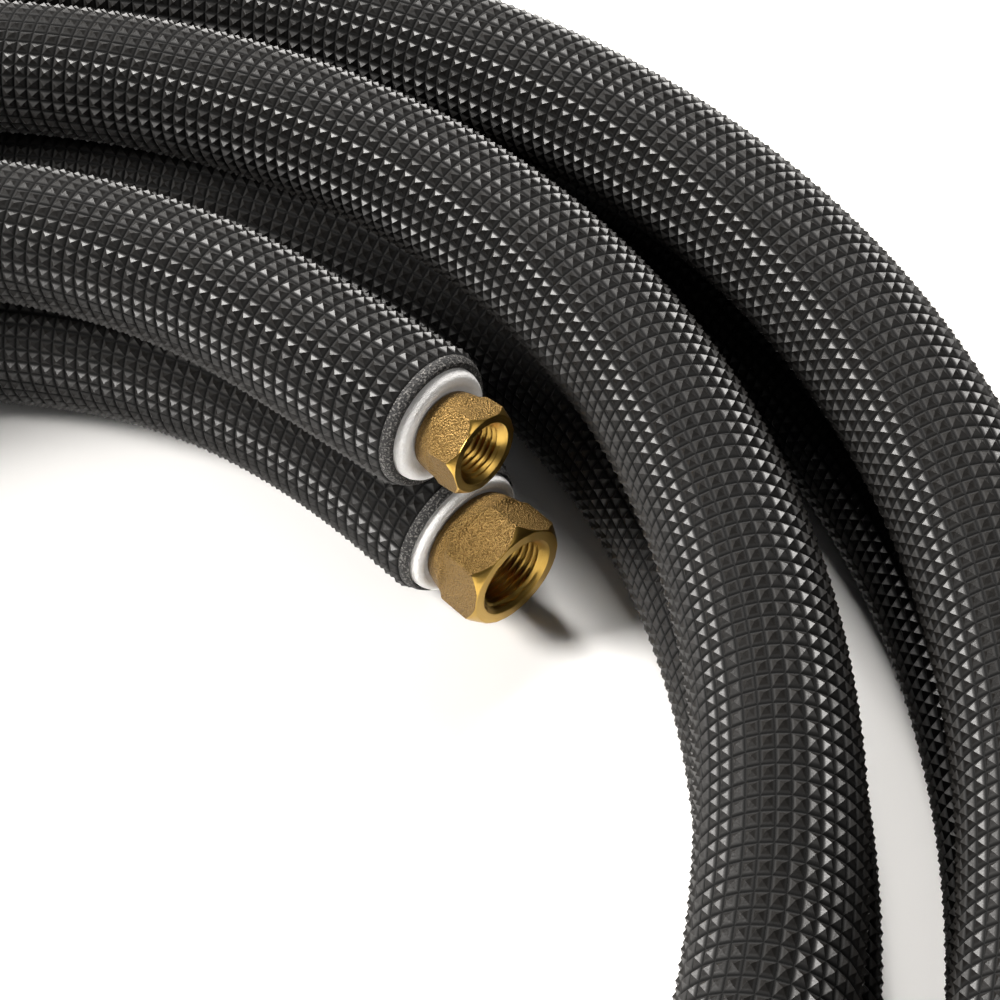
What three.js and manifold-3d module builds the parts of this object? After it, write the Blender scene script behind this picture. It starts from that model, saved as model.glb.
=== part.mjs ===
// Mini split line set: two insulated copper lines laid one on the other and wound into a flat coil.
// Millimetres, +Z up, the coil lying on the floor at z = 0 and centred on the origin.
import * as THREE from "three";
import { mergeVertices } from "three/addons/utils/BufferGeometryUtils.js";
import Module from "manifold-3d";

// Clearances
const touch = 0.3; // left between two pieces that bear on each other
const nutPlay = 0.35; // a flare nut runs free on its tube

// Insulation
const jacketWall = 1.75; // embossed skin, up to the tips of its pyramids
const foamProud = 2; // the foam stands out of the cut jacket
const tubeWall = 0.8;

// The two lines. Nut lengths run from the mouth, at 0, back to the collar's end.
const liquid = {
  tubeRadius: 3.175,
  outerRadius: 14.5,
  flareRadius: 4.55,
  nut: {
    acrossFlats: 15.9,
    length: 10.4,
    hexLength: 6.4,
    chamfer: 1.5,
    mouthRadius: 6.7,
    threadRadius: 5.3,
    threadEnd: 7,
    collarFront: 8.5,
    collarBack: 7.9,
  },
};
const suction = {
  tubeRadius: 4.76,
  outerRadius: 16,
  flareRadius: 6.6,
  nut: {
    acrossFlats: 22,
    length: 14.2,
    hexLength: 10,
    chamfer: 2.2,
    mouthRadius: 9,
    threadRadius: 7.55,
    threadEnd: 10.2,
    collarFront: 11.7,
    collarBack: 10.7,
  },
};

// The lay of the coil. An angle is the direction in which the line's outer side faces,
// and the reach is how far that side lies from the coil's middle.
const stationAngle = 15;
const spiralStart = 50;
const innerReach = 121;
const turnPitch = 28.5;
const slackReach = 56; // the innermost turn lies slack, inside the even spiral
const slackTurns = 0.6;
const driftReach = 5.5; // each turn lies a little to one side of the last
const driftAngle = 133;
const ovalReach = 21.5;
const ovalEase = 7.15; // each turn is that much rounder than the last
const ovalAngle = 92;
const eggReach = 3.9;
const eggAngle = 25.5;

Object.assign(liquid, {
  nearAngle: 45,
  farAngle: 45 + 900,
  nearTail: 38.5,
  farTail: 30,
  sideStep: -2.5,
  endStep: 21,
  endTurns: 0.113,
  riseHeight: 4,
  riseAt: 0,
  riseLength: 140,
  nearRoll: 9,
  farRoll: 15,
});
Object.assign(suction, {
  nearAngle: 41,
  farAngle: 41 + 900,
  nearTail: 16,
  farTail: 36,
  sideStep: 0,
  endStep: 24.2,
  endTurns: 0.106,
  riseHeight: 3.4,
  riseAt: 48,
  riseLength: 38,
  nearRoll: -7.6,
  farRoll: 10,
});
suction.height = suction.outerRadius;
liquid.height = 2 * suction.outerRadius + touch + liquid.outerRadius;

const radians = THREE.MathUtils.degToRad;

function reachOf(line, angle) {
  const turns = (angle - spiralStart) / 360;
  const spiral = innerReach + turnPitch * turns + slackReach * (1 - Math.exp(-turns / slackTurns));
  const drift = driftReach * turns * Math.cos(radians(angle - driftAngle));
  const oval = (ovalReach - ovalEase * turns) * Math.cos(2 * radians(angle - ovalAngle));
  const egg = eggReach * Math.cos(3 * radians(angle - eggAngle));
  const apart = line.sideStep + line.endStep * Math.exp(-turns / line.endTurns);
  return spiral + drift + oval + egg + apart;
}

// How far a line is lifted at a given run back from its near end, where it is sprung up by its own bend.
function liftOf(line, run) {
  return line.riseHeight * Math.exp(-(((run - line.riseAt) / line.riseLength) ** 2));
}

function pointOnCoil(line, angle) {
  const step = 0.01;
  const reach = reachOf(line, angle);
  const slope = (reachOf(line, angle + step) - reachOf(line, angle - step)) / radians(2 * step);
  const outward = new THREE.Vector3(Math.cos(radians(angle)), Math.sin(radians(angle)), 0);
  const along = new THREE.Vector3(-outward.y, outward.x, 0);
  return outward.multiplyScalar(reach).addScaledVector(along, slope);
}

// The centre line of one line, from its near end to its far end, with a station every 15 degrees
// and a straight tail at each end that runs on past the end of the jacket by the given length.
class LinePath extends THREE.Curve {
  constructor(line, beyond) {
    super();
    this.line = line;
    this.beyond = beyond;
    this.stations = (line.farAngle - line.nearAngle) / stationAngle + 2;
  }
  getPoint(t, target = new THREE.Vector3()) {
    const { line, beyond, stations } = this;
    const place = t * stations - 1;
    const turned = THREE.MathUtils.clamp(place, 0, stations - 2);
    const angle = line.nearAngle + turned * stationAngle;
    target.copy(pointOnCoil(line, angle));
    const along = new THREE.Vector3(-Math.sin(radians(angle)), Math.cos(radians(angle)), 0);
    const nearRun = (line.nearTail + beyond) * Math.max(-place, 0);
    const farRun = (line.farTail + beyond) * Math.max(place - turned, 0);
    target.addScaledVector(along, farRun - nearRun);
    const run = line.nearTail + radians(angle - line.nearAngle) * innerReach;
    const slope = liftOf(line, line.nearTail + 0.5) - liftOf(line, line.nearTail - 0.5);
    target.z = line.height + liftOf(line, run) - slope * nearRun;
    return target;
  }
  getUtoTmapping(u) {
    return u;
  }
  // Every section stands upright, so that the lines lie flat on each other and on the floor.
  computeFrenetFrames(segments) {
    const frames = { tangents: [], normals: [], binormals: [] };
    for (let i = 0; i <= segments; i++) {
      const tangent = this.getTangentAt(i / segments);
      const side = new THREE.Vector3(0, 0, 1).cross(tangent).normalize();
      frames.tangents.push(tangent);
      frames.normals.push(side);
      frames.binormals.push(tangent.clone().cross(side));
    }
    return frames;
  }
}

// A ring of so many sides: the distance is from the centre to the flats, or to the corners.
function ring(outside, outsideSides, inside, insideSides) {
  const corners = (radius, sides) =>
    Array.from({ length: sides }, (_, i) => {
      const turn = ((i + 0.5) / sides) * 2 * Math.PI;
      return new THREE.Vector2(radius * Math.cos(turn), radius * Math.sin(turn));
    });
  const shape = new THREE.Shape(corners(outside, outsideSides));
  shape.holes.push(new THREE.Path(corners(inside, insideSides)));
  return shape;
}
const byFlats = (radius, sides) => radius / Math.cos(Math.PI / sides);

function sweep(line, shape, beyond) {
  const path = new LinePath(line, beyond);
  return new THREE.ExtrudeGeometry(shape, {
    steps: path.stations,
    extrudePath: path,
    curveSegments: 1,
  });
}

function solidOf(geometry) {
  const bare = geometry.index ? geometry.toNonIndexed() : geometry.clone();
  bare.deleteAttribute("normal");
  bare.deleteAttribute("uv");
  const merged = mergeVertices(bare, 1e-3);
  return new wasm.Manifold(
    new wasm.Mesh({
      numProp: 3,
      vertProperties: merged.attributes.position.array,
      triVerts: new Uint32Array(merged.index.array),
    }),
  );
}

function geometryOf(solid) {
  const mesh = solid.getMesh();
  const geometry = new THREE.BufferGeometry();
  geometry.setAttribute("position", new THREE.BufferAttribute(mesh.vertProperties, 3));
  geometry.setIndex(new THREE.BufferAttribute(mesh.triVerts, 1));
  geometry.computeVertexNormals();
  return geometry;
}

// A turned ring about +Z from its [radius, height] points, listed counterclockwise.
function turned(points, segments) {
  const outline = [...points, points[0]].map(([radius, height]) => new THREE.Vector2(radius, height));
  return new THREE.LatheGeometry(outline, segments).rotateX(Math.PI / 2);
}

// The frame at one end of a line: origin on the jacket's cut face, +Z out along the tube.
function endFrame(line, atFarEnd) {
  const path = new LinePath(line, 0);
  const frame = new THREE.Object3D();
  frame.position.copy(path.getPoint(atFarEnd ? 1 : 0));
  const out = path.getTangent(atFarEnd ? 1 : 0).multiplyScalar(atFarEnd ? 1 : -1);
  const side = new THREE.Vector3(0, 0, 1).cross(out).normalize();
  frame.quaternion.setFromRotationMatrix(
    new THREE.Matrix4().makeBasis(side, out.clone().cross(side), out),
  );
  frame.updateMatrix();
  return frame;
}

// How far the nut's mouth stands out from the cut face of the jacket.
const mouthReach = (line) => foamProud + touch + line.nut.length;

function makeNut({ nut, tubeRadius }) {
  const cornerRadius = nut.acrossFlats / Math.sqrt(3);
  const faceRadius = cornerRadius - nut.chamfer * 0.75;
  const bore = tubeRadius + nutPlay;
  const seatDepth = nut.threadRadius - bore; // the seat is a cone of 45 degrees
  const body = turned(
    [
      [nut.mouthRadius, 0],
      [nut.threadRadius, nut.threadRadius - nut.mouthRadius],
      [nut.threadRadius, -nut.threadEnd],
      [bore, -nut.threadEnd - seatDepth],
      [bore, -nut.length],
      [nut.collarBack, -nut.length],
      [nut.collarFront, -nut.hexLength],
      [cornerRadius, -nut.hexLength + 0.4],
      [cornerRadius, -nut.chamfer],
      [faceRadius, 0],
    ],
    18,
  );
  const hexagon = new THREE.CylinderGeometry(cornerRadius, cornerRadius, nut.hexLength + 1, 6)
    .rotateX(Math.PI / 2)
    .translate(0, 0, (1 - nut.hexLength) / 2);
  const collar = new THREE.CylinderGeometry(nut.collarFront + 1, nut.collarFront + 1, nut.length, 18)
    .rotateX(Math.PI / 2)
    .translate(0, 0, -nut.hexLength - nut.length / 2);
  const blank = solidOf(hexagon).add(solidOf(collar));
  return geometryOf(solidOf(body).intersect(blank));
}

// The copper runs from flare to flare. Each end is straight where it passes through the foam's end
// and the nut, and its flare lies against the nut's seat.
function makeTube(line) {
  const { nut, tubeRadius, flareRadius } = line;
  const inside = tubeRadius - tubeWall;
  const bore = tubeRadius + nutPlay;
  const seatStart = mouthReach(line) - nut.threadEnd - (nut.threadRadius - bore);
  const flareStart = seatStart + touch * Math.SQRT2 - nutPlay;
  const tipHeight = flareStart + flareRadius - tubeRadius;
  const end = turned(
    [
      [inside, -6],
      [tubeRadius, -6],
      [tubeRadius, flareStart],
      [flareRadius, tipHeight],
      [flareRadius - tubeWall * Math.SQRT1_2, tipHeight + tubeWall * Math.SQRT1_2],
      [inside, flareStart + 0.35],
    ],
    12,
  );
  const slim = 0.94; // the sweep's corners stay within the flats of the turned ends
  let solid = solidOf(sweep(line, ring(tubeRadius * slim, 6, inside * slim, 6), -2));
  for (const atFarEnd of [false, true]) {
    solid = solid.add(solidOf(end.clone().applyMatrix4(endFrame(line, atFarEnd).matrix)));
  }
  return geometryOf(solid);
}

const looks = {
  copper: new THREE.MeshStandardMaterial({ color: 0xb87348, roughness: 0.35, metalness: 1 }),
  foam: new THREE.MeshStandardMaterial({ color: 0xe9e9e6, roughness: 0.9, metalness: 0 }),
  jacket: new THREE.MeshStandardMaterial({ color: 0x2c2e31, roughness: 0.55, metalness: 0 }),
  brass: new THREE.MeshStandardMaterial({ color: 0x8f7a45, roughness: 0.45, metalness: 1 }),
};

const wasm = await Module();
wasm.setup();

const coil = new THREE.Group();
for (const [name, line] of Object.entries({ liquid, suction })) {
  const skinInside = line.outerRadius - jacketWall;
  const foamOutside = skinInside - touch;
  const foamBore = byFlats(line.tubeRadius + touch, 6);
  const pieces = {
    tube: [makeTube(line), looks.copper],
    foam: [sweep(line, ring(byFlats(foamOutside, 10), 10, foamBore, 6), foamProud), looks.foam],
    jacket: [
      sweep(line, ring(byFlats(line.outerRadius, 12), 12, byFlats(skinInside, 10), 10), 0),
      looks.jacket,
    ],
  };
  for (const [piece, [geometry, look]] of Object.entries(pieces)) {
    const mesh = new THREE.Mesh(geometry, look);
    mesh.name = `${name}_line_${piece}`;
    coil.add(mesh);
  }
  for (const end of ["near", "far"]) {
    const seat = endFrame(line, end === "far");
    const nut = new THREE.Mesh(makeNut(line), looks.brass);
    nut.name = `${name}_nut_${end}`;
    nut.position.z = mouthReach(line);
    nut.rotation.z = radians(end === "far" ? line.farRoll : line.nearRoll);
    seat.add(nut);
    coil.add(seat);
  }
}

const room = new THREE.Box3().setFromObject(coil, true);
const middle = room.getCenter(new THREE.Vector3());
coil.position.set(-middle.x, -middle.y, 0);

const lineSet = new THREE.Group();
lineSet.add(coil);

export default lineSet;
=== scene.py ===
# A mini split line set: two insulated copper lines, one lying on the other, wound into a flat coil.
import bisect
import math

import bpy
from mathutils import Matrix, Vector


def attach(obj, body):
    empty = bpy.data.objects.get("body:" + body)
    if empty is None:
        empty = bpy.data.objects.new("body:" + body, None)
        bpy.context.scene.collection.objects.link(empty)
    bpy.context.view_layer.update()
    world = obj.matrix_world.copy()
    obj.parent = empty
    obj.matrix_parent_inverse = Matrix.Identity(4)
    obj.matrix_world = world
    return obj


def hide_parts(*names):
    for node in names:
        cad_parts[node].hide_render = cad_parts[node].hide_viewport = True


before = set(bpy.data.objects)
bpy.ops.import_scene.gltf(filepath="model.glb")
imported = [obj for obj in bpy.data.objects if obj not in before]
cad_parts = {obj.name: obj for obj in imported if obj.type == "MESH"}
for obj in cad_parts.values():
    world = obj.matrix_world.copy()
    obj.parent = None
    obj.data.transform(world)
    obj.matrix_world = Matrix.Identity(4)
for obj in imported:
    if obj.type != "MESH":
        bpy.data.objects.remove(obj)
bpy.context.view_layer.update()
scene = bpy.context.scene
scene.view_settings.view_transform = "Standard"
mm = 0.001
print("frame loaded:", len(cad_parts), "nodes")


# Camera, at the photograph's angle: 48 degrees down on the inner end of the coil
view = {
    "eye": (141.1, -249.5, 386.8),
    "target": (141.1, 102.2, 0),
    "roll": math.radians(-3.84),
    "lens": 90.6,
}
bpy.ops.object.camera_add(location=Vector(view["eye"]) * mm)
camera = bpy.context.object
camera.name = "photoCamera"
looking = Vector(view["target"]) - Vector(view["eye"])
camera.rotation_euler = looking.to_track_quat("-Z", "Y").to_euler()
camera.rotation_euler.rotate_axis("Z", view["roll"])
camera.data.lens = view["lens"]
camera.data.sensor_width = 36
camera.data.clip_start = 0.01
scene.camera = camera


# The lay of the coil, in millimetres and degrees. An angle is the way the line's outer side faces,
# and the reach is how far that side lies from the coil's middle.
lay = {
    "middle": (16.618, -10.004),
    "spiralStart": 50,
    "innerReach": 121,
    "turnPitch": 28.5,
    "slackReach": 56,  # the innermost turn lies slack
    "slackTurns": 0.6,
    "driftReach": 5.5,
    "driftAngle": 133,
    "ovalReach": 21.5,
    "ovalEase": 7.15,  # each turn is that much rounder than the last
    "ovalAngle": 92,
    "eggReach": 3.9,
    "eggAngle": 25.5,
    "step": 0.25,
}
liquid = {
    "name": "liquid",
    "outerRadius": 14.5,
    "tubeRadius": 3.175,
    "flareRadius": 4.55,
    "height": 46.8,
    "nearAngle": 45,
    "farAngle": 945,
    "nearTail": 38.5,
    "farTail": 30,
    "sideStep": -2.5,
    "endStep": 21,
    "endTurns": 0.113,
    "riseHeight": 4,
    "riseAt": 0,
    "riseLength": 140,
    "nearRoll": 9,
    "farRoll": 15,
}
suction = {
    "name": "suction",
    "outerRadius": 16,
    "tubeRadius": 4.76,
    "flareRadius": 6.6,
    "height": 16,
    "nearAngle": 41,
    "farAngle": 941,
    "nearTail": 16,
    "farTail": 36,
    "sideStep": 0,
    "endStep": 24.2,
    "endTurns": 0.106,
    "riseHeight": 3.4,
    "riseAt": 48,
    "riseLength": 38,
    "nearRoll": -7.6,
    "farRoll": 10,
}


def reachOf(line, angle):
    turns = (angle - lay["spiralStart"]) / 360
    reach = lay["innerReach"] + lay["turnPitch"] * turns
    reach += lay["slackReach"] * (1 - math.exp(-turns / lay["slackTurns"]))
    reach += lay["driftReach"] * turns * math.cos(math.radians(angle - lay["driftAngle"]))
    oval = lay["ovalReach"] - lay["ovalEase"] * turns
    reach += oval * math.cos(2 * math.radians(angle - lay["ovalAngle"]))
    reach += lay["eggReach"] * math.cos(3 * math.radians(angle - lay["eggAngle"]))
    return reach + line["sideStep"] + line["endStep"] * math.exp(-turns / line["endTurns"])


def pointOnCoil(line, angle):
    turn = math.radians(angle)
    slope = (reachOf(line, angle + 0.01) - reachOf(line, angle - 0.01)) / math.radians(0.02)
    reach = reachOf(line, angle)
    x = reach * math.cos(turn) - slope * math.sin(turn) + lay["middle"][0]
    y = reach * math.sin(turn) + slope * math.cos(turn) + lay["middle"][1]
    return x, y


def liftOf(line, run):
    return line["riseHeight"] * math.exp(-(((run - line["riseAt"]) / line["riseLength"]) ** 2))


class Route:
    # The centre line of one line, measured from the cut end of its jacket at the near end.
    def __init__(self, line):
        near, tail = line["nearAngle"], line["nearTail"]
        slope = liftOf(line, tail + 0.5) - liftOf(line, tail - 0.5)
        startX, startY = pointOnCoil(line, near)
        turn = math.radians(near)
        base = line["height"]
        level = base + liftOf(line, tail) - slope * tail
        self.points = [
            Vector((startX + math.sin(turn) * tail, startY - math.cos(turn) * tail, level))
        ]
        count = round((line["farAngle"] - near) / lay["step"])
        for i in range(count + 1):
            angle = near + i * lay["step"]
            run = tail + math.radians(angle - near) * lay["innerReach"]
            self.points.append(Vector((*pointOnCoil(line, angle), base + liftOf(line, run))))
        turn = math.radians(line["farAngle"])
        ahead = Vector((-math.sin(turn), math.cos(turn), 0))
        self.points.append(self.points[-1] + ahead * line["farTail"])
        self.runs = [0.0]
        for before, after in zip(self.points, self.points[1:]):
            self.runs.append(self.runs[-1] + (after - before).length)
        self.length = self.runs[-1]

    def point(self, run):
        i = min(max(bisect.bisect_right(self.runs, run) - 1, 0), len(self.points) - 2)
        share = (run - self.runs[i]) / (self.runs[i + 1] - self.runs[i])
        return self.points[i].lerp(self.points[i + 1], share)

    def axes(self, run):
        ahead = (self.point(run + 0.6) - self.point(run - 0.6)).normalized()
        side = Vector((0, 0, 1)).cross(ahead).normalized()
        return self.point(run), side, ahead.cross(side), ahead


# Rolls a flat grid into a closed round piece. placeAt(row, column) gives a point in millimetres and
# paintAt(row, column) the pattern's coordinates. A row that isn't whole is the tip of a raised cell.
def rollGrid(name, rows, columns, placeAt, paintAt, raised=None, lookOf=None):
    bpy.ops.object.select_all(action="DESELECT")
    bpy.ops.mesh.primitive_grid_add(x_subdivisions=rows, y_subdivisions=columns, size=1)
    piece = bpy.context.object
    piece.name = name
    mesh = piece.data

    def rowOf(x):
        return (x + 0.5) * rows

    if lookOf:
        for face in mesh.polygons:
            face.material_index = lookOf(int(rowOf(face.center.x)))
    if raised:
        bpy.ops.object.mode_set(mode="EDIT")
        bpy.ops.mesh.select_mode(type="FACE")
        bpy.ops.mesh.select_all(action="DESELECT")
        bpy.ops.object.mode_set(mode="OBJECT")
        for face in mesh.polygons:
            face.select = raised[0] < rowOf(face.center.x) < raised[1]
        bpy.ops.object.mode_set(mode="EDIT")
        bpy.ops.mesh.poke(offset=0)
        bpy.ops.object.mode_set(mode="OBJECT")
    flat = [(rowOf(v.co.x), (v.co.y + 0.5) * columns) for v in mesh.vertices]
    layer = mesh.uv_layers.active.data
    for loop in mesh.loops:
        layer[loop.index].uv = paintAt(*flat[loop.vertex_index])
    for vertex, (row, column) in zip(mesh.vertices, flat):
        vertex.co = placeAt(row, column) * mm
    bpy.ops.object.mode_set(mode="EDIT")
    bpy.ops.mesh.select_all(action="SELECT")
    bpy.ops.mesh.remove_doubles(threshold=2e-6)
    bpy.ops.object.mode_set(mode="OBJECT")
    return piece


def finishPiece(piece, materials, node, body, smooth=None):
    for material in materials:
        piece.data.materials.append(material)
    if smooth is not None:
        bpy.ops.object.select_all(action="DESELECT")
        piece.select_set(True)
        bpy.context.view_layer.objects.active = piece
        bpy.ops.object.shade_smooth_by_angle(angle=math.radians(smooth))
    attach(piece, body)
    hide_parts(node)
    print(piece.name, "made:", len(piece.data.polygons), "faces")


# Colours are sRGB hex values
def colour(code):
    parts = [int(code[i : i + 2], 16) / 255 for i in (1, 3, 5)]
    return [p / 12.92 if p <= 0.04045 else ((p + 0.055) / 1.055) ** 2.4 for p in parts] + [1]


def addNode(tree, kind, settings=None, **links):
    node = tree.nodes.new(kind)
    for key, value in (settings or {}).items():
        if hasattr(node, key):
            setattr(node, key, value)
        else:
            node.inputs[key].default_value = value
    for key, source in links.items():
        spot = int(key[1:]) if key[0] == "i" and key[1:].isdigit() else key.replace("_", " ")
        tree.links.new(source, node.inputs[spot])
    return node


def newMaterial(name, **values):
    material = bpy.data.materials.new(name)
    material.use_nodes = True
    tree = material.node_tree
    shader = tree.nodes["Principled BSDF"]
    for key, value in values.items():
        shader.inputs[key.replace("_", " ")].default_value = value
    return material, tree, shader


def mixColours(tree, share, first, second):
    mix = addNode(tree, "ShaderNodeMix", {"data_type": "RGBA"})
    tree.links.new(share, mix.inputs[0])
    for value, socket in ((first, mix.inputs[6]), (second, mix.inputs[7])):
        if isinstance(value, (list, tuple)):
            socket.default_value = value
        else:
            tree.links.new(value, socket)
    return mix.outputs[2]


# Embossed low-density polyethylene film: dark, satin on the raised cells, duller in the grooves,
# where painted shade makes it near black.
# The grooves follow the UV map, in which one cell is one unit. The tone drifts over 11 mm, and the
# film's own grain is finer than the 0.4 mm drawn here, which is as coarse as it needs to show.
def embossedFilm():
    material, tree, shader = newMaterial("embossedPolyethylene")
    shader.inputs["Specular IOR Level"].default_value = 0.37
    place = addNode(tree, "ShaderNodeTexCoord")
    cell = addNode(tree, "ShaderNodeVectorMath", {"operation": "FRACTION"}, i0=place.outputs["UV"])
    out = addNode(tree, "ShaderNodeVectorMath", {"operation": "SUBTRACT"}, i0=cell.outputs[0])
    out.inputs[1].default_value = (0.5, 0.5, 0.5)
    size = addNode(tree, "ShaderNodeVectorMath", {"operation": "ABSOLUTE"}, i0=out.outputs[0])
    parts = addNode(tree, "ShaderNodeSeparateXYZ", i0=size.outputs[0])
    edge = addNode(
        tree, "ShaderNodeMath", {"operation": "MAXIMUM"}, i0=parts.outputs[0], i1=parts.outputs[1]
    )
    groove = addNode(tree, "ShaderNodeMapRange", i0=edge.outputs[0])
    groove.inputs[1].default_value = 0.27
    groove.inputs[2].default_value = 0.44
    tone = addNode(
        tree, "ShaderNodeTexNoise", {"Scale": 90.0, "Detail": 3.0}, Vector=place.outputs["Object"]
    )
    film = mixColours(tree, tone.outputs[0], colour("#0e0d0c"), colour("#1a1816"))
    # Painted shade: the grooves between the cells are coloured near black (#030303), as if shade had
    # settled there.
    tree.links.new(
        mixColours(tree, groove.outputs[0], film, colour("#030303")), shader.inputs["Base Color"]
    )
    dull = addNode(tree, "ShaderNodeMapRange", {"To Min": 0.38, "To Max": 1.0}, i0=groove.outputs[0])
    tree.links.new(dull.outputs[0], shader.inputs["Roughness"])
    grain = addNode(
        tree, "ShaderNodeTexNoise", {"Scale": 2600.0, "Detail": 2.0}, Vector=place.outputs["Object"]
    )
    bump = addNode(
        tree, "ShaderNodeBump", {"Strength": 0.25, "Distance": 0.0001}, Height=grain.outputs[0]
    )
    tree.links.new(bump.outputs[0], shader.inputs["Normal"])
    return material


# The film's cut end, torn and rubbed: near black with grey grains of 0.4 mm
def cutFilm():
    material, tree, shader = newMaterial("cutPolyethylene", Roughness=0.7)
    place = addNode(tree, "ShaderNodeTexCoord")
    grain = addNode(
        tree, "ShaderNodeTexNoise", {"Scale": 2400.0, "Detail": 4.0}, Vector=place.outputs["Object"]
    )
    grains = addNode(tree, "ShaderNodeMapRange", i0=grain.outputs[0])
    grains.inputs[1].default_value = 0.5
    grains.inputs[2].default_value = 0.72
    tree.links.new(
        mixColours(tree, grains.outputs[0], colour("#1b1a1a"), colour("#8b8884")),
        shader.inputs["Base Color"],
    )
    bump = addNode(
        tree, "ShaderNodeBump", {"Strength": 0.7, "Distance": 0.0004}, Height=grain.outputs[0]
    )
    tree.links.new(bump.outputs[0], shader.inputs["Normal"])
    return material


# Closed-cell polyethylene foam, cut with a blade: white, matte, burst cells of 0.4 to 0.7 mm
def cutFoam():
    material, tree, shader = newMaterial("polyethyleneFoam", Roughness=0.85)
    shader.inputs["Subsurface Weight"].default_value = 0.25
    shader.inputs["Subsurface Radius"].default_value = (1, 1, 1)
    shader.inputs["Subsurface Scale"].default_value = 0.0015
    place = addNode(tree, "ShaderNodeTexCoord")
    cells = addNode(
        tree, "ShaderNodeTexVoronoi", {"Scale": 2300.0}, Vector=place.outputs["Object"]
    )
    grain = addNode(
        tree, "ShaderNodeTexNoise", {"Scale": 1500.0, "Detail": 4.0}, Vector=place.outputs["Object"]
    )
    tree.links.new(
        mixColours(tree, grain.outputs[0], colour("#f0ede8"), colour("#ffffff")),
        shader.inputs["Base Color"],
    )
    rough = addNode(
        tree,
        "ShaderNodeMath",
        {"operation": "MULTIPLY"},
        i0=cells.outputs[0],
        i1=grain.outputs[0],
    )
    bump = addNode(
        tree, "ShaderNodeBump", {"Strength": 0.5, "Distance": 0.0003}, Height=rough.outputs[0]
    )
    tree.links.new(bump.outputs[0], shader.inputs["Normal"])
    return material


# Hot forged brass, shot-blasted: dull brown gold, a stipple of 0.4 mm pits painted darker as shade
# in their hollows, clouds of 6 mm
def blastedBrass():
    material, tree, shader = newMaterial("blastedBrass", Metallic=1.0, Roughness=0.4)
    place = addNode(tree, "ShaderNodeTexCoord")
    pits = addNode(
        tree, "ShaderNodeTexNoise", {"Scale": 2800.0, "Detail": 2.0}, Vector=place.outputs["Object"]
    )
    tone = addNode(
        tree, "ShaderNodeTexNoise", {"Scale": 160.0, "Detail": 2.0}, Vector=place.outputs["Object"]
    )
    warm = mixColours(tree, tone.outputs[0], colour("#7b6238"), colour("#8e7347"))
    # Painted shade: the low points of the pit noise, the hollows of the bump, are coloured a darker
    # brown (#6a522c).
    low = addNode(tree, "ShaderNodeMapRange", i0=pits.outputs[0])
    low.inputs[1].default_value = 0.36
    low.inputs[2].default_value = 0.5
    tree.links.new(
        mixColours(tree, low.outputs[0], colour("#6a522c"), warm), shader.inputs["Base Color"]
    )
    bump = addNode(
        tree, "ShaderNodeBump", {"Strength": 1.0, "Distance": 0.0006}, Height=pits.outputs[0]
    )
    tree.links.new(bump.outputs[0], shader.inputs["Normal"])
    return material


# Free-cutting brass as it leaves the tool: bright yellow gold with turned rings 0.1 mm apart
def turnedBrass():
    material, tree, shader = newMaterial("turnedBrass", Metallic=1.0, Roughness=0.3)
    place = addNode(tree, "ShaderNodeTexCoord")
    lengthwise = addNode(tree, "ShaderNodeMapping", Vector=place.outputs["UV"])
    lengthwise.inputs["Scale"].default_value = (0.04, 9, 1)
    rings = addNode(
        tree, "ShaderNodeTexNoise", {"Scale": 1.0, "Detail": 3.0}, Vector=lengthwise.outputs[0]
    )
    tree.links.new(
        mixColours(tree, rings.outputs[0], colour("#b08a3c"), colour("#d9b564")),
        shader.inputs["Base Color"],
    )
    bump = addNode(
        tree, "ShaderNodeBump", {"Strength": 0.25, "Distance": 0.0001}, Height=rings.outputs[0]
    )
    tree.links.new(bump.outputs[0], shader.inputs["Normal"])
    return material


# Soft drawn copper, handled: warm red-brown with darker clouds of 5 mm
def drawnCopper():
    material, tree, shader = newMaterial("drawnCopper", Metallic=1.0, Roughness=0.34)
    place = addNode(tree, "ShaderNodeTexCoord")
    cloud = addNode(
        tree, "ShaderNodeTexNoise", {"Scale": 220.0, "Detail": 4.0}, Vector=place.outputs["Object"]
    )
    tree.links.new(
        mixColours(tree, cloud.outputs[0], colour("#8a4a2c"), colour("#c98458")),
        shader.inputs["Base Color"],
    )
    bump = addNode(
        tree, "ShaderNodeBump", {"Strength": 0.1, "Distance": 0.0001}, Height=cloud.outputs[0]
    )
    tree.links.new(bump.outputs[0], shader.inputs["Normal"])
    return material


film, filmCut, foamSkin = embossedFilm(), cutFilm(), cutFoam()
brass, bright, copper = blastedBrass(), turnedBrass(), drawnCopper()


def mirrored(rows, length):
    return [(length - run, radius) for run, radius in reversed(rows)]


def evenRuns(start, end, spacing):
    count = max(1, round((end - start) / spacing))
    return [start + (end - start) * i / count for i in range(count + 1)]


# A sleeve of the given [run, radius] rows round the route, the last row joined to the first
def sleeve(name, route, rows, columns, raised=None, tipRadius=0, lookOf=None):
    loop = rows + rows[:1]
    axes = [route.axes(run) for run, radius in loop]

    def placeAt(row, column):
        turn = -2 * math.pi * column / columns
        low = min(int(row + 1e-4), len(loop) - 1)
        if abs(row - round(row)) > 0.25:
            centre, side, up, ahead = route.axes((loop[low][0] + loop[low + 1][0]) / 2)
            radius = tipRadius
        else:
            low = round(row)
            centre, side, up, ahead = axes[low]
            radius = loop[low][1]
        return centre + (side * math.cos(turn) + up * math.sin(turn)) * radius

    return rollGrid(name, len(rows), columns, placeAt, lambda r, c: (r, c), raised, lookOf)


# Jacket: raised square pyramids in straight rows along and round the line
jacket = {
    "pitch": 3.05,
    "around": {"liquid": 34, "suction": 36},
    "height": 1.0,
    "wall": 1.75,
    "rim": 1.2,  # the cells start this far from the cut
    "lipGap": 0.15,  # between the turned-in lip and the foam
    "lipDepth": 3.4,
    "spacing": 15,  # of the rows on the inner wall
}


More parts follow.
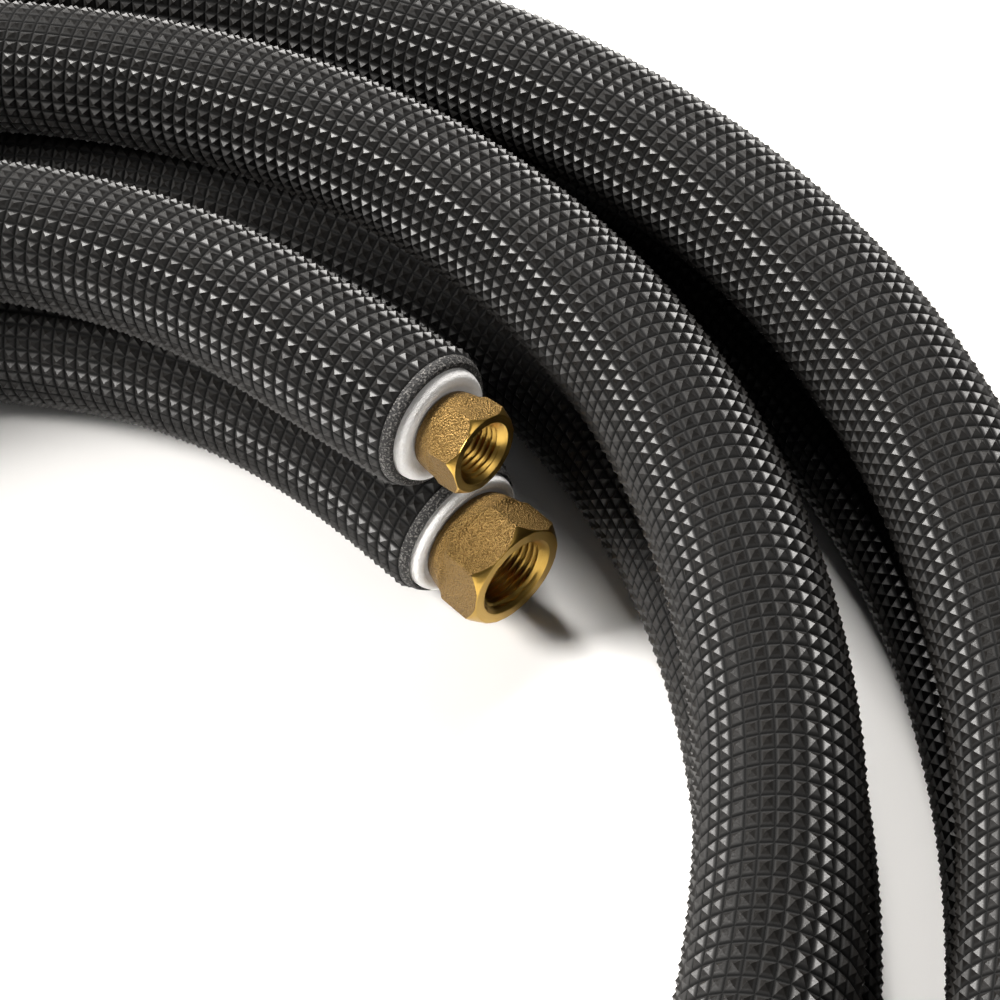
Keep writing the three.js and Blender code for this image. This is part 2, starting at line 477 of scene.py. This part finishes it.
def makeJacket(line, route):
    base = line["outerRadius"] - jacket["height"]
    inside = line["outerRadius"] - jacket["wall"]
    lip = foam["neck"][line["name"]] + jacket["lipGap"]
    rim = [  # the cut edge is drawn in over the foam as a round shoulder
        (jacket["lipDepth"], inside),
        (1.4, lip),
        (-0.4, lip),
        (-0.75, lip + 0.08),
        (-0.9, lip + 0.4),
        (-0.75, base - 0.8),
        (-0.35, base - 0.45),
        (0.15, base - 0.2),
        (0.7, base - 0.05),
    ]
    runs = evenRuns(jacket["rim"], route.length - jacket["rim"], jacket["pitch"])
    skin = [(run, base) for run in runs]
    depth = jacket["lipDepth"]
    wallRuns = evenRuns(depth, route.length - depth, jacket["spacing"])[1:-1]
    wall = [(run, inside) for run in wallRuns]
    rows = rim + skin + mirrored(rim, route.length) + wall[::-1]
    first, last = len(rim), len(rim) + len(skin) - 1
    columns = jacket["around"][line["name"]]
    piece = sleeve(
        line["name"] + "_jacket",
        route,
        rows,
        columns,
        raised=(first, last),
        tipRadius=line["outerRadius"],
        lookOf=lambda row: 0 if first <= row < last else 1,
    )
    name = line["name"] + "_line_jacket"
    finishPiece(piece, [film, filmCut], name, "coil", smooth=28)


# Foam: a thick white sleeve whose cut ends swell out of the jacket round the nut's collar
foam = {
    "gap": 0.3,
    "proud": 2.0,
    "bore": 0.3,
    "neck": {"liquid": 11.5, "suction": 13.6},  # where the jacket's lip holds it
    # runs, and shares of the way from the collar to the neck
    "swell": [(-2.15, 0.12), (-2.5, 0.3), (-2.7, 0.5), (-2.55, 0.7), (-2.1, 0.86), (-1.2, 0.97)],
    "endLength": 12.0,
    "columns": 64,
    "spacing": 15,
}


def makeFoam(line, route):
    outer = line["outerRadius"] - jacket["wall"] - foam["gap"]
    bore = line["tubeRadius"] + foam["bore"]
    proud, neck = foam["proud"], foam["neck"][line["name"]]
    collar = nuts[line["name"]]["collarBack"]
    end = [
        (foam["endLength"], bore),
        (0.8 - proud, bore),
        (0.1 - proud, bore + 0.6),
        (-proud, collar - 0.3),
        *[(run, collar + (neck - collar) * share) for run, share in foam["swell"]],
        (-0.2, neck),
        (2.4, neck),
        (3.6, outer),
        (6.0, outer),
    ]
    runs = evenRuns(foam["endLength"], route.length - foam["endLength"], foam["spacing"])
    skin = [(run, outer) for run in runs]
    wall = [(run, bore) for run in runs[1:-1]]
    rows = end + skin + mirrored(end, route.length) + wall[::-1]
    piece = sleeve(line["name"] + "_foam", route, rows, foam["columns"])
    finishPiece(piece, [foamSkin], line["name"] + "_line_foam", "coil", smooth=50)


# Nuts. Lengths run back from the mouth.
nuts = {
    "liquid": {
        "apothem": 7.95,
        "length": 10.4,
        "hexLength": 6.4,
        "chamfer": 1.5,
        "mouth": 6.3,
        "seat": 5.3,
        "major": 5.55,
        "minor": 4.95,
        "pitch": 1.27,  # 7/16-20
        "threadEnd": 7.0,
        "collarFront": 8.5,
        "collarBack": 7.9,
    },
    "suction": {
        "apothem": 11.0,
        "length": 14.2,
        "hexLength": 10.0,
        "chamfer": 2.2,
        "mouth": 8.75,
        "seat": 7.55,
        "major": 7.93,
        "minor": 7.2,
        "pitch": 1.41,  # 5/8-18
        "threadEnd": 10.2,
        "collarFront": 11.7,
        "collarBack": 10.7,
    },
    "play": 0.35,
    "columns": 180,
    "threadRows": 8,  # to each turn of the thread
    "cornerPower": 140,  # the higher, the crisper the hexagon's corners
    "edge": 0.5,  # the collar's rounded rear edge
    "stepBack": 0.5,  # the forged step starts this far behind the hexagon
    "stepLength": 1.6,
    "stepRows": 8,
}
touch = 0.3


def mouthReach(line):
    return foam["proud"] + touch + nuts[line["name"]]["length"]


def smoothStep(value):
    value = min(max(value, 0), 1)
    return value * value * (3 - 2 * value)


def makeNut(line, route, atFarEnd):
    nut = nuts[line["name"]]
    bore = line["tubeRadius"] + nuts["play"]
    corner = nut["apothem"] / math.cos(math.radians(30))
    face = corner - nut["chamfer"] * 0.75
    seatEnd = -nut["threadEnd"] - (nut["seat"] - bore)
    back, hexBack = -nut["length"], -nut["hexLength"]
    power, edge, stepRows = nuts["cornerPower"], nuts["edge"], nuts["stepRows"]
    stepStart = hexBack - nuts["stepBack"]
    stepEnd = stepStart + nuts["stepLength"]

    def hexRadius(turn):
        total = sum(max(0, math.cos(turn - math.radians(60 * k))) ** power for k in range(6))
        return nut["apothem"] / total ** (1 / power)

    def collarRadius(z):
        share = (z - back) / (hexBack - back)
        return nut["collarBack"] + (nut["collarFront"] - nut["collarBack"]) * share

    def chamferStart(turn):
        return -max(0.12, nut["chamfer"] * (hexRadius(turn) - face) / (corner - face))

    rows = [
        lambda t: (back, bore),
        lambda t: (back, nut["collarBack"] - edge),
        lambda t: (back + edge * 0.3, nut["collarBack"] - edge * 0.3),
        lambda t: (back + edge, nut["collarBack"]),
    ]
    for share in (0.35, 0.7, 1.0):
        z = back + edge + (stepStart - back - edge) * share
        rows.append(lambda t, z=z: (z, collarRadius(z)))
    for step in range(1, stepRows + 1):  # the forging's soft step from the collar to the hexagon
        z = stepStart + nuts["stepLength"] * step / stepRows
        share = smoothStep(step / stepRows)
        rows.append(
            lambda t, z=z, share=share: (
                z,
                collarRadius(min(z, hexBack)) * (1 - share) + hexRadius(t) * share,
            )
        )
    for share in (0.3, 0.7):
        rows.append(
            lambda t, share=share: (
                stepEnd * (1 - share) + (chamferStart(t) - 0.2) * share,
                hexRadius(t),
            )
        )
    rows.append(lambda t: (chamferStart(t) - 0.16, hexRadius(t)))
    rows.append(lambda t: (chamferStart(t) - 0.04, hexRadius(t) - 0.03))
    turnedFrom = len(rows) - 1
    rows += [
        lambda t: (chamferStart(t) * 0.5, (min(face, hexRadius(t)) + hexRadius(t)) * 0.5 - 0.02),
        lambda t: (-0.1, min(face, hexRadius(t)) - 0.02),
        lambda t: (0, min(face, hexRadius(t)) - 0.14),
        lambda t: (0, nut["mouth"] + 0.12),
        lambda t: (-0.1, nut["mouth"] - 0.02),
    ]
    threadStart = -(nut["mouth"] - nut["major"])
    rows.append(lambda t: (threadStart * 0.5, nut["mouth"] + threadStart * 0.5))

    def threadRadius(z, t):
        place = (z / nut["pitch"] - t / (2 * math.pi)) % 1
        ridge = min(max((1 - abs(2 * place - 1) - 0.15) / 0.7, 0), 1)
        cut = nut["minor"] + (nut["major"] - nut["minor"]) * ridge
        return max(cut, nut["mouth"] + z)

    count = round((nut["threadEnd"] + threadStart - 0.6) / nut["pitch"] * nuts["threadRows"])
    for i in range(count + 1):
        z = threadStart - i * nut["pitch"] / nuts["threadRows"]
        rows.append(lambda t, z=z: (z, threadRadius(z, t)))
    rows += [
        lambda t: (-nut["threadEnd"] + 0.2, nut["major"]),
        lambda t: (seatEnd + nut["major"] - bore, nut["major"]),
        lambda t: (seatEnd, bore),
        lambda t: ((seatEnd + back) / 2, bore),
    ]

    roll = math.radians(line["farRoll"] if atFarEnd else line["nearRoll"])
    end = route.length if atFarEnd else 0
    centre, ahead = route.point(end), route.axes(end)[-1]
    out = ahead if atFarEnd else -ahead
    side = Vector((0, 0, 1)).cross(out).normalized()
    up = out.cross(side)
    mouth = centre + out * mouthReach(line)
    columns = nuts["columns"]
    loop = rows + rows[:1]
    along = [0.0]
    for first, second in zip(loop, loop[1:]):
        along.append(along[-1] + math.dist(first(0), second(0)))

    def placeAt(row, column):
        turn = -2 * math.pi * column / columns
        z, radius = loop[round(row)](turn)
        angle = turn + roll
        return mouth + out * z + (side * math.cos(angle) + up * math.sin(angle)) * radius

    def paintAt(row, column):
        return column / columns * 2 * math.pi * nut["mouth"], along[round(row)]

    name = line["name"] + "_nut_" + ("far" if atFarEnd else "near")
    piece = rollGrid(
        name + "_brass",
        len(rows),
        columns,
        placeAt,
        paintAt,
        lookOf=lambda row: 1 if row >= turnedFrom else 0,
    )
    finishPiece(piece, [brass, bright], name, name, smooth=30)


# Copper: the tube runs from flare to flare, each flare against its nut's seat
tube = {"wall": 0.8, "endLength": 6.0, "columns": 40, "spacing": 15}


def makeTube(line, route):
    nut = nuts[line["name"]]
    outer = line["tubeRadius"]
    inner = outer - tube["wall"]
    bore = outer + nuts["play"]
    seatEnd = mouthReach(line) - nut["threadEnd"] - (nut["seat"] - bore)
    flare = seatEnd + touch * math.sqrt(2) - nuts["play"]
    tip = flare + line["flareRadius"] - outer
    lean = tube["wall"] * math.sqrt(0.5)
    end = [
        (tube["endLength"], inner),
        (-flare + 0.2, inner),
        (-flare - 0.35, inner + 0.1),
        (-tip - lean + 0.1, line["flareRadius"] - lean - 0.1),
        (-tip - lean, line["flareRadius"] - lean + 0.1),
        (-tip - 0.1, line["flareRadius"]),
        (-tip + 0.1, line["flareRadius"] - 0.1),
        (-flare - 0.2, outer + 0.2),
        (-flare + 0.3, outer),
        (0.0, outer),
    ]
    runs = evenRuns(tube["endLength"], route.length - tube["endLength"], tube["spacing"])
    skin = [(run, outer) for run in runs]
    wall = [(run, inner) for run in runs[1:-1]]
    rows = end + skin + mirrored(end, route.length) + wall[::-1]
    piece = sleeve(line["name"] + "_tube", route, rows, tube["columns"])
    finishPiece(piece, [copper], line["name"] + "_line_tube", "coil", smooth=35)


for line in (liquid, suction):
    route = Route(line)
    print(line["name"], "line:", round(route.length), "mm")
    makeJacket(line, route)
    makeFoam(line, route)
    makeTube(line, route)
    makeNut(line, route, False)
    makeNut(line, route, True)


# Floor and light: a pale table under two soft boxes, one above and behind and one to the left,
# with a weak fill from the right and a dim sky
studio = {
    "floor": "#fbfaf8",
    "floorSize": 20,
    "sky": 0.09,
    "warmth": (1.0, 0.975, 0.945),
    "lamps": [  # place, aim, size and power
        ((0.0, 1.3, 1.35), (0.14, 0.1, 0), 0.9, 78),
        ((-1.45, 0.05, 1.1), (0.14, 0, 0), 0.6, 66),
        ((1.1, -0.8, 0.9), (0.14, 0.1, 0), 0.8, 5),
    ],
}
bpy.ops.mesh.primitive_plane_add(size=studio["floorSize"])
floor = bpy.context.object
floor.name = "paleFloor"
paleTable, tableTree, tableShader = newMaterial("paleTable", Roughness=0.6)
tablePlace = addNode(tableTree, "ShaderNodeTexCoord")
tableTone = addNode(
    tableTree, "ShaderNodeTexNoise", {"Scale": 3.0}, Vector=tablePlace.outputs["Object"]
)
tableTree.links.new(
    mixColours(tableTree, tableTone.outputs[0], colour(studio["floor"]), colour("#fdfcfb")),
    tableShader.inputs["Base Color"],
)
floor.data.materials.append(paleTable)

world = bpy.data.worlds.new("studioSky")
scene.world = world
world.use_nodes = True
world.node_tree.nodes["Background"].inputs[0].default_value = (1, 1, 1, 1)
world.node_tree.nodes["Background"].inputs[1].default_value = studio["sky"]
for place, aim, size, power in studio["lamps"]:
    bpy.ops.object.light_add(type="AREA", location=place)
    lamp = bpy.context.object
    lamp.data.size = size
    lamp.data.energy = power
    lamp.data.color = studio["warmth"]
    lamp.rotation_euler = (Vector(aim) - Vector(place)).to_track_quat("-Z", "Y").to_euler()
print("studio set")
